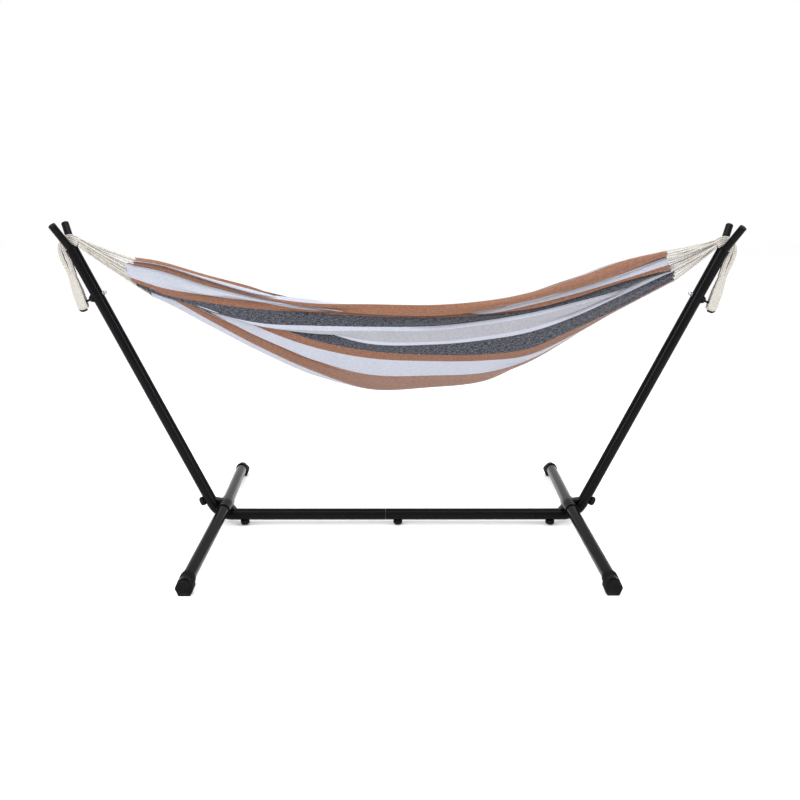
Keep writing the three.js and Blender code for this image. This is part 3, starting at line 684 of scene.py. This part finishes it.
# The lay of the front: at each place along the cloth, lines across it and the heights they hang at, in mm.
# Where the lines are further apart than the heights, the cloth between them is tucked behind.
FRONT_LAY = {
    -0.90: ((-270, 993), (-257, 983), (-203, 976), (-153, 963), (-101, 918), (-71, 903), (-60, 896),
            (206, 893), (224, 880)),
    -0.80: ((-270, 978), (-257, 969), (-203, 962), (-153, 944), (-101, 887), (-71, 867), (-58, 857),
            (207, 857), (224, 836)),
    -0.65: ((-270, 936), (-256, 929), (-203, 917), (-153, 898), (-101, 864), (-71, 841), (-40, 810),
            (141, 808), (150, 802), (183, 799), (203, 780), (224, 756)),
    -0.48: ((-270, 891), (-258, 885), (-203, 868), (-153, 858), (-101, 844), (-71, 821), (-27, 768),
            (101, 760), (131, 728), (174, 722), (203, 690), (222, 670)),
    -0.30: ((-222, 855), (-203, 841), (-160, 825), (-106, 821), (-71, 808), (-31, 764), (-20, 745),
            (-8, 735), (57, 733), (71, 719), (101, 694), (143, 650), (167, 646), (203, 609), (220, 592)),
    -0.10: ((-200, 838), (-158, 800), (-75, 798), (-31, 760), (-20, 744), (20, 712), (31, 702),
            (45, 692), (52, 690), (71, 679), (101, 654), (153, 597), (205, 541)),
    0.12: ((-198, 836), (-157, 795), (-74, 793), (-31, 764), (-20, 747), (20, 709), (31, 701), (71, 665),
           (101, 644), (153, 594), (198, 549)),
    0.30: ((-200, 852), (-156, 818), (-112, 814), (-101, 804), (-71, 800), (-31, 783), (-20, 769),
           (20, 729), (31, 718), (71, 667), (101, 646), (153, 604), (188, 570)),
    0.45: ((-203, 882), (-156, 848), (-113, 845), (-101, 835), (-71, 819), (-31, 809), (-20, 793),
           (20, 757), (31, 745), (71, 687), (101, 664), (153, 645), (165, 632)),
    0.60: ((-203, 930), (-156, 888), (-113, 885), (-101, 873), (-71, 858), (-31, 845), (-20, 832),
           (20, 808), (31, 796), (71, 751), (101, 730), (153, 722), (158, 718)),
    0.75: ((-203, 983), (-156, 938), (-115, 931), (-101, 917), (-71, 907), (-31, 884), (-20, 873),
           (20, 869), (31, 864), (71, 820), (101, 811), (110, 807)),
    0.90: ((-203, 1016), (-156, 990), (-120, 985), (-101, 962), (-71, 945), (-31, 937), (31, 930),
           (71, 898), (101, 890), (110, 886)),
}
LINE_STEP = 3  # mm between lines across the cloth
CLOTH_STEPS = 150
TUCK_LEAST = 12  # mm of spare cloth that makes a tuck
TUCK_IN, PLEAT_IN, SHELF_IN = 0.022, 0.016, 0.013  # how far a tuck, a pleat's turn and what follows lie back
PLEAT_LEAST, PLEAT_MOST, PLEAT_BELOW_RIM = 12, 60, 16  # mm
ROLLED_RIM_FROM = 0.2  # beyond this place the rim is rolled outward
FLAP_LEAST, FLAP_NECK = 8, 14  # mm of cloth in the loose inner flap, and in its turn over the rim
FLAP_SINK = 0.008
# The rear and the flap: mm across from the front's lowest line, share of the half width, share of the rise.
REAR_LAY = (
    (45, 0.30, 0.02), (100, 0.62, 0.14), (165, 0.86, 0.36), (230, 0.96, 0.58), (285, 0.80, 0.36),
    (345, 0.96, 0.60), (400, 1.02, 0.80), (445, 0.90, 0.62), (500, 1.02, 0.84), (545, 0.99, 0.985),
    (562, 0.90, 1.0), (580, 0.80, 0.95), (680, 0.60, 0.55), (760, 0.22, 0.34), (830, -0.18, 0.38),
    (880, -0.42, 0.56), (930, -0.30, 0.46), (980, 0.02, 0.42), (1030, 0.26, 0.50),
)


def along_curve(pairs, x):
    """The value at x of a smooth curve through (x, value) pairs."""
    for i in range(len(pairs) - 1):
        if x <= pairs[i + 1][0] or i == len(pairs) - 2:
            break
    x1, x2 = pairs[i][0], pairs[i + 1][0]
    value1, value2 = pairs[i][1], pairs[i + 1][1]
    before = pairs[i - 1] if i else None
    after = pairs[i + 2] if i + 2 < len(pairs) else None
    chord = (value2 - value1) / (x2 - x1)
    slope1 = chord if before is None else (value2 - before[1]) / (x2 - before[0])
    slope2 = chord if after is None else (after[1] - value1) / (after[0] - x1)
    t = (x - x1) / (x2 - x1)
    if t < 0 or t > 1:
        return value1 + chord * (x - x1)
    run = x2 - x1
    return ((1 + 2 * t) * (1 - t) ** 2 * value1 + t * (1 - t) ** 2 * run * slope1
            + t * t * (3 - 2 * t) * value2 + t * t * (t - 1) * run * slope2)


def half_width(x):
    return along_curve(HALF_WIDTHS, x)


def settle(height, y):
    """The height of cloth that lies at depth y, from its height on the lay's plane."""
    return height - (y - LAY_PLANE) * (SIGHT_HEIGHT - height) / SIGHT_RUN


def section_path(x, lay):
    """(line, y, z) points of one cross-section, from the front hem over the trough to the rear hem."""
    width = half_width(x)
    rim, foot = lay[0][1] * MM, lay[-1][1] * MM
    points = []
    spare = lay[0][0] - FIRST_HEM
    if spare > FLAP_LEAST:
        hang = (spare - FLAP_NECK) * MM
        flap_y, neck_y = -width + 0.026, -width + 0.016
        points.append((FIRST_HEM, flap_y, settle(rim, flap_y) - FLAP_SINK - hang * 0.9))
        points.append((lay[0][0] - FLAP_NECK, neck_y, settle(rim, neck_y) - FLAP_SINK))

    def front_face(line, height, inward):
        share = min(1.0, max(0.0, (height - foot) / (rim - foot)))
        y = -width * math.sqrt(max(0.0, 1 - (1 - share) ** 2)) * 0.94 - 0.012 + inward
        if share > 0.97 and inward == 0:
            y += 0.006
        points.append((line, y, settle(height, y)))

    shelf = 0.0
    for (line1, height1), (line2, height2) in zip(lay, lay[1:]):
        front_face(line1, height1 * MM, shelf)
        if line1 == lay[0][0] and x > ROLLED_RIM_FROM:
            front_face((line1 + line2) / 2, (height1 + height2) / 2 * MM, -0.012)
        drop = height1 - height2
        spare = line2 - line1 - drop
        shelf *= 0.35
        if spare > TUCK_LEAST:
            if drop > 3:
                front_face(line1 + drop, height2 * MM, -0.003)
            else:
                front_face(line1 + 1, height1 * MM - 0.001, -0.004)
            # A deep tuck is pleated back and forth, so that it stays below the rim.
            room = max(PLEAT_LEAST, min(PLEAT_MOST, lay[0][1] - height2 - PLEAT_BELOW_RIM))
            pleats = math.ceil(spare / 2 / room)
            pleat = spare / pleats
            for k in range(pleats):
                front_face(line1 + drop + pleat * (k + 0.5), (height2 + pleat / 2) * MM, TUCK_IN)
                if k < pleats - 1:
                    front_face(line1 + drop + pleat * (k + 1), (height2 + 2) * MM, PLEAT_IN)
            shelf = SHELF_IN
    front_face(lay[-1][0], lay[-1][1] * MM, shelf * 0.5)

    # Underneath and up the back, with two tucks, then over the rear rim and down inside as a loose flap.
    keel = points[-1][2]
    rear_rim = settle(rim, width) - 0.012
    rise = rear_rim - keel
    line = lay[-1][0]
    spread = (LAST_HEM - line) / REAR_LAY[-1][0]
    for across, y_share, z_share in REAR_LAY:
        points.append((line + across * spread, width * y_share, keel + rise * z_share))
    return points


def resampled(points, lines):
    """The section's points at fixed lines across the cloth, with the folds rounded."""
    found = []
    i = 0
    for line in lines:
        while i < len(points) - 2 and points[i + 1][0] < line:
            i += 1
        (line1, y1, z1), (line2, y2, z2) = points[i], points[i + 1]
        share = min(1.0, max(0.0, (line - line1) / max(1e-6, line2 - line1)))
        found.append((y1 + (y2 - y1) * share, z1 + (z2 - z1) * share))
    weights = (0.08, 0.24, 0.36, 0.24, 0.08)
    for _ in range(2):
        last = len(found) - 1
        found = [tuple(sum(w * found[min(last, max(0, j + k - 2))][axis] for k, w in enumerate(weights))
                       for axis in (0, 1)) for j in range(len(found))]
    return found


def end_reach(line, side):
    """How far along each line of the cloth reaches: the gathered end is ragged, tuck by tuck."""
    if side < 0:
        shape = ((-270, -0.890), (-200, -0.902), (-130, -0.934), (-75, -0.900), (-40, -0.880), (215, -0.852),
                 (330, -0.885), (1230, -0.905))
    else:
        shape = ((-270, 0.895), (-200, 0.906), (-120, 0.920), (-60, 0.932), (20, 0.944), (110, 0.948),
                 (250, 0.925), (1230, 0.915))
    jag = 0.006 * noise.noise(Vector((line * 0.021, side * 3.0, 0.5)))
    return along_curve(shape, line) + jag


cloth_lines = list(range(FIRST_HEM, LAST_HEM + 1, LINE_STEP))
lay_places = sorted(FRONT_LAY)
GATHER_PLACE, GATHER_DEPTH = 0.92, 2.2 * MM  # fine gathers grow towards this place near each end
DRIFT, CREASE = 3.0 * MM, 1.5 * MM
lay_sections = [resampled(section_path(x, FRONT_LAY[x]), cloth_lines) for x in lay_places]


def cloth_point(column, u):
    """Where one point of the cloth lies: column counts lines across it, u runs from end to end."""
    line = cloth_lines[column]
    left, right = end_reach(line, -1), end_reach(line, 1)
    x = left + (right - left) * u
    y = along_curve([(place, section[column][0]) for place, section in zip(lay_places, lay_sections)], x)
    z = along_curve([(place, section[column][1]) for place, section in zip(lay_places, lay_sections)], x)
    to_end = min(1.0, abs(x) / GATHER_PLACE)
    ripple = math.sin(line * 0.23 + 2.0 * noise.noise(Vector((x * 3, line * 0.01, 7))))
    pleat = GATHER_DEPTH * to_end ** 4 * ripple
    drift = DRIFT * noise.noise(Vector((x * 2.2, line * 0.012, 1.3)))
    crease = CREASE * noise.noise(Vector((x * 7.0, line * 0.05, 4.1)))
    return Vector((x, y + pleat + drift + crease, z + 0.5 * drift))


HALF_REPEAT = 0.178  # the stripes repeat every 356 mm and mirror about the middle of each grey stripe
WEAVE_TURN = 2400.0  # radians to the metre: one thread every 1.3 mm


def make_striped_cotton():
    """Plain weave in four yarns: terracotta, white, a charcoal heather and a pale grey, in warp stripes."""
    material, tree, shader = finish_material("striped_woven_cotton", 0.92)
    shader.inputs["Sheen Weight"].default_value = 0.25
    shader.inputs["Sheen Roughness"].default_value = 0.5
    shader.inputs["Specular IOR Level"].default_value = 0.1
    place = node(tree, "UVMap", uv_map="cloth").outputs["UV"]
    flat = node(tree, "SeparateXYZ", {"Vector": place})  # X across and Y along the cloth, in metres
    wander = mottle(tree, place, 420.0, 1.0)
    fuzz = node(tree, "MapRange", {"Value": wander, "To Min": -0.0006, "To Max": 0.0006})
    line = figure(tree, "ADD", flat.outputs["X"], fuzz.outputs["Result"])
    share = figure(tree, "DIVIDE", figure(tree, "PINGPONG", line, HALF_REPEAT), HALF_REPEAT)
    bands = ((0.0, "grey"), (0.020, "white"), (0.031, "charcoal"), (0.071, "terracotta"), (0.101, "white"),
             (0.153, "terracotta"))
    yarns = {"grey": ((0.20, 0.20, 0.225), (0.255, 0.255, 0.285)),
             "white": ((0.27, 0.28, 0.325), (0.325, 0.335, 0.385)),
             "charcoal": ((0.004, 0.0045, 0.0065), (0.082, 0.085, 0.105)),
             "terracotta": ((0.115, 0.048, 0.028), (0.19, 0.097, 0.062))}

    def striped(shade):
        ramp = node(tree, "ValToRGB", {"Fac": share})
        ramp.color_ramp.interpolation = "CONSTANT"
        while len(ramp.color_ramp.elements) < len(bands):
            ramp.color_ramp.elements.new(1.0)
        for element, (start, yarn) in zip(ramp.color_ramp.elements, bands):
            element.position = start / HALF_REPEAT
            element.color = (*yarns[yarn][shade], 1)
        return ramp.outputs["Color"]

    # Slubs run along the warp; short flecks of the heather's pale fibres lie across it.
    slub_place = node(tree, "Mapping", {"Vector": place, "Scale": (520.0, 60.0, 1.0)}, vector_type="POINT")
    slub = mottle(tree, slub_place.outputs["Vector"], 1.0, 3.0)
    fleck_place = node(tree, "Mapping", {"Vector": place, "Scale": (300.0, 170.0, 1.0)}, vector_type="POINT")
    fleck = mottle(tree, fleck_place.outputs["Vector"], 1.0, 2.0)
    yarn_mix = figure(tree, "MULTIPLY", slub, fleck)
    spread = node(tree, "MapRange", {"Value": yarn_mix, "From Min": 0.16, "From Max": 0.38})
    colour = node(tree, "Mix", {"Factor": spread.outputs["Result"], "A": striped(0), "B": striped(1)},
                  data_type="RGBA")
    cloud = mottle(tree, place, 9.0, 3.0)
    fade = node(tree, "MapRange", {"Value": cloud, "To Min": 0.92, "To Max": 1.06})
    toned = node(tree, "Mix", {"Factor": 1.0, "A": colour.outputs["Result"], "B": fade.outputs["Result"]},
                 data_type="RGBA", blend_type="MULTIPLY")
    tree.links.new(toned.outputs["Result"], shader.inputs["Base Color"])
    # The weave: warp and weft threads pass over and under each other.
    warp, weft = (figure(tree, "SINE", figure(tree, "MULTIPLY", flat.outputs[axis], WEAVE_TURN))
                  for axis in "XY")
    woven = figure(tree, "MULTIPLY", warp, weft)
    relief(tree, shader, figure(tree, "ADD", woven, slub), 0.35, 0.6 * MM)
    return material


striped_cotton = make_striped_cotton()

cloth_shape = bmesh.new()
cloth_uv = cloth_shape.loops.layers.uv.new("cloth")
grid = [[cloth_shape.verts.new(cloth_point(column, step / CLOTH_STEPS))
         for column in range(len(cloth_lines))] for step in range(CLOTH_STEPS + 1)]
for step in range(CLOTH_STEPS):
    for column in range(len(cloth_lines) - 1):
        corners = ((step, column), (step, column + 1), (step + 1, column + 1), (step + 1, column))
        face = cloth_shape.faces.new([grid[a][b] for a, b in corners])
        for loop, (a, b) in zip(face.loops, corners):
            loop[cloth_uv].uv = (cloth_lines[b] * MM, a / CLOTH_STEPS * CLOTH_FLAT[1])
cloth_mesh = bpy.data.meshes.new("striped_cloth")
cloth_shape.to_mesh(cloth_mesh)
cloth_shape.free()
cloth_mesh.shade_smooth()
cloth = bpy.data.objects.new("striped_cloth", cloth_mesh)
bpy.context.collection.objects.link(cloth)
thickness = cloth.modifiers.new("cloth_thickness", "SOLIDIFY")
thickness.thickness = CLOTH_THICKNESS
thickness.offset = 0
fit_piece(cloth, "hammock", "striped_cloth", striped_cotton, "hammock_cloth")

# ---------------------------------------------------------------- End cords
# Undyed twisted cotton cords, 5.4 mm thick, that leave the tucks of the gathered end and draw together
# in one bundle on the fork's seat. Each is one free cord, pulled taut by the cloth's weight.
CORD_RADIUS = 2.7 * MM
CORDS_EACH_END = 18
CORD_STEPS = 24
SWING_AXIS = 1.029
SEAT_X = 1.0934
CORD_SIDES = 10
CORD_PLIES, CORD_LAY = 3, 20 * MM
CORD_SPACING = 5.6 * MM
CORD_SAG = 0.010
CORD_TUCKED_IN = 6 * MM  # how far each cord starts inside the gathered end


def make_cotton_cord():
    """Ecru cotton: plied strands show as slanting furrows with loose fibres, and the furrows are painted
    darker as shade.
    """
    material, tree, shader = finish_material("undyed_cotton_cord", 0.95)
    shader.inputs["Sheen Weight"].default_value = 0.3
    shader.inputs["Specular IOR Level"].default_value = 0.08
    place = node(tree, "TexCoord").outputs["Object"]
    plies = node(tree, "TexWave", {"Vector": place, "Scale": 90.0, "Distortion": 1.5, "Detail": 2.0},
                 bands_direction="DIAGONAL")
    fibre = mottle(tree, place, 260.0, 4.0)
    blend = figure(tree, "MULTIPLY", plies.outputs["Fac"], fibre)
    # Painted shade: the colour darkens in the ply furrows that the bumps below sink; the fibre mottle is the
    # cotton's own uneven tone.
    tone = graded(tree, blend, (0.27, 0.255, 0.23), (0.405, 0.385, 0.355), 0.0, 0.45)
    tree.links.new(tone, shader.inputs["Base Color"])
    relief(tree, shader, plies.outputs["Fac"], 0.22, 0.5 * MM)
    return material


cotton_cord = make_cotton_cord()


def cord_rings(path, radius, start_turn):
    """A laid cord: the section is a soft trefoil of plies that turns once every lay along the path."""
    rings, run = [], 0.0
    for i, point in enumerate(path):
        heading = (path[min(i + 1, len(path) - 1)] - path[max(i - 1, 0)]).normalized()
        across = (ACROSS - heading * heading.dot(ACROSS)).normalized()
        up = heading.cross(across)
        if i:
            run += (point - path[i - 1]).length
        points = []
        for k in range(CORD_SIDES):
            angle = 2 * math.pi * k / CORD_SIDES
            ply_turn = angle - 2 * math.pi * run / CORD_LAY / CORD_PLIES + start_turn
            size = radius * (1 + 0.05 * math.cos(CORD_PLIES * ply_turn))
            points.append(point + around(across, up, angle, size, size))
        rings.append(points)
    return rings


def packed_place(index):
    """Where a cord lies in the bundle on the seat: across and up from the bundle's middle."""
    rows = ((3, -14.5), (4, -9.0), (4, -3.2), (3, 2.6), (3, 8.2), (1, 13.2))
    for count, height in rows:
        if index < count:
            return ((index - (count - 1) / 2) * CORD_SPACING, height * MM)
        index -= count
    raise ValueError("more cords than places")


FRONT_LINES, REAR_LINES = (-262, 218), (240, 760)  # the lines of the front face and of the rear one


def cord_start(index, step):
    """Where a cord leaves the gathered end: evenly up its height, from the front and the rear in turn."""
    first, last = FRONT_LINES if index % 2 else REAR_LINES
    columns = range((first - FIRST_HEM) // LINE_STEP, (last - FIRST_HEM) // LINE_STEP)
    places = [cloth_point(column, step) for column in columns]
    low, high = min(place.z for place in places), max(place.z for place in places)
    wanted = low + (high - low) * (index + 0.3) / (CORDS_EACH_END - 0.4)
    return min(places, key=lambda place: abs(place.z - wanted))


for end, side in (("left", -1), ("right", 1)):
    step = 0.0 if side < 0 else 1.0
    starts = [cord_start(index, step) for index in range(CORDS_EACH_END)]
    starts.sort(key=lambda point: point.z)
    for index, start in enumerate(starts):
        shift_y, shift_z = packed_place(index)
        seat = Vector((side * SEAT_X, shift_y, SWING_AXIS + shift_z))
        start = start + (start - seat).normalized() * CORD_TUCKED_IN
        path = []
        for i in range(CORD_STEPS + 1):
            share = i / CORD_STEPS
            point = start.lerp(seat, share)
            point.z -= CORD_SAG * (1 - share) * share
            path.append(point)
        cord = skin(f"end_cord_{end}_{index + 1:02d}", [(cord_rings(path, CORD_RADIUS, index), False)], 180)
        fit_piece(cord, "hammock", "cotton_cord", cotton_cord, f"cord_fan_{end}")

# ---------------------------------------------------------------- Cord tails and wound eyes
# Past the fork's seat the same cords run down the arm's outer side in two hanks. Their ends are bound
# together and served with thin cord into an eye, which hangs on the hook.
TAIL_ROUTE = ((1094, 1029), (1109, 1037), (1125, 1040), (1140, 1034), (1150, 1019), (1152, 1002),
              (1147.5, 984), (1138, 955), (1125.5, 915))
EYE_SEAT = arm_point(HOOK_ALONG, 62 * MM)
EYE_HALF_WIDTH, EYE_HALF_THICK = 17 * MM, 5.6 * MM
EYE_LEG_SPREAD = 11.0 * MM
EYE_BELOW = 17 * MM
SERVING_PITCH = 4.2 * MM
SERVING_STEP = 1.0 * MM
SERVING_BULGE, SERVING_SINK = 1.9 * MM, 1.3 * MM
EYE_CLOSES_FROM, EYE_CLOSES_OVER = 0.35, 0.5  # shares of the eye's height
EYE_CLOSED = 0.52  # the share of its legs' spread that is left at the top
NECK_FROM, NECK_NARROWING = 0.45, 0.26
EYE_SIDES = 36
TAIL_RADIUS = CORD_RADIUS * 1.04
HANKS_PART_FROM, HANKS_PART_OVER, HANKS_PARTING = 0.38, 0.55, 3.2 * MM
TAIL_NARROWS_FROM, TAIL_NARROWING = 0.4, 0.22


def smooth_route(points, steps):
    """Evenly spaced points on a smooth curve through a few given ones."""
    runs = [0.0]
    for a, b in zip(points, points[1:]):
        runs.append(runs[-1] + (b - a).length)
    found = []
    for i in range(steps + 1):
        s = runs[-1] * i / steps
        found.append(Vector([along_curve([(run, p[axis]) for run, p in zip(runs, points)], s)
                             for axis in range(3)]))
    return found


tail_middle = smooth_route([Vector((x * MM, 0, z * MM)) for x, z in TAIL_ROUTE], 44)
neck = tail_middle[-1]
eye_up = (neck - EYE_SEAT).normalized()
eye_across = Vector((eye_up.z, 0, -eye_up.x))


def tail_cord(shift_y, shift_out, hank):
    """One cord's path down the tail; hank is -1 for the hank next to the arm and 1 for the outer one."""
    path = []
    last = len(tail_middle) - 1
    for i, point in enumerate(tail_middle):
        heading = (tail_middle[min(i + 1, last)] - tail_middle[max(i - 1, 0)]).normalized()
        out = Vector((-heading.z, 0, heading.x))
        share = i / last
        parted = min(1.0, max(0.0, (share - HANKS_PART_FROM) / HANKS_PART_OVER))
        parting = math.sin(math.pi * parted) ** 2 * HANKS_PARTING
        squeeze = 1.0 - TAIL_NARROWING * max(0.0, share - TAIL_NARROWS_FROM)
        path.append(point + ACROSS * (shift_y * squeeze) + out * (shift_out * squeeze + hank * parting))
    return path


def serving_rings():
    """The wound eye: a flat bundle down one side of the hook's rod, round under it and up the other side."""
    top = (neck - EYE_SEAT).length + 6 * MM
    straight = top + EYE_BELOW - EYE_LEG_SPREAD
    bend = math.pi * EYE_LEG_SPREAD
    total = 2 * straight + bend
    rings = []
    count = int(total / SERVING_STEP)
    for j in range(count + 1):
        run = total * j / count
        if run < straight:
            y, up, heading = -EYE_LEG_SPREAD, top - run, -eye_up
        elif run < straight + bend:
            angle = (run - straight) / EYE_LEG_SPREAD
            y = -EYE_LEG_SPREAD * math.cos(angle)
            up = EYE_LEG_SPREAD - EYE_BELOW - EYE_LEG_SPREAD * math.sin(angle)
            heading = -eye_up * math.cos(angle) + ACROSS * math.sin(angle)
        else:
            y, up, heading = EYE_LEG_SPREAD, EYE_LEG_SPREAD - EYE_BELOW + run - straight - bend, eye_up
        height = max(0.0, up) / top
        spread = 1 - max(0.0, min(1.0, (height - EYE_CLOSES_FROM) / EYE_CLOSES_OVER))
        y *= EYE_CLOSED + (1 - EYE_CLOSED) * spread
        wide = EYE_HALF_WIDTH * (1 - NECK_NARROWING * max(0.0, (height - NECK_FROM) / (1 - NECK_FROM)))
        thick = EYE_HALF_THICK * (1 + 0.15 * (1 - spread))
        centre = EYE_SEAT + eye_up * up + ACROSS * y
        through = heading.cross(eye_across).normalized()
        cap = min(1.0, 0.55 + 0.45 * min(run, total - run) / (4 * MM))
        points = []
        for i in range(EYE_SIDES):
            turn = i / EYE_SIDES
            phase = run / SERVING_PITCH - turn
            bulge = SERVING_BULGE * abs(math.sin(math.pi * phase)) - SERVING_SINK
            points.append(centre + around(eye_across, through, 2 * math.pi * turn,
                                          wide * cap + bulge, thick * cap + bulge))
        rings.append(points)
    return rings


for end, side in (("left", -1), ("right", 1)):
    strips = []
    for index in range(CORDS_EACH_END):
        shift_y, shift_up = packed_place(index)
        hank = -1 if shift_up < 0 else 1
        strips.append((cord_rings(tail_cord(shift_y, shift_up, hank), TAIL_RADIUS, index), False))
    strips.append((serving_rings(), False))
    tail = skin(f"tail_cords_{end}", mirrored(strips, side), 180)
    fit_piece(tail, "stand", "cotton_cord", cotton_cord, f"cord_tail_{end}", f"cord_loop_{end}")
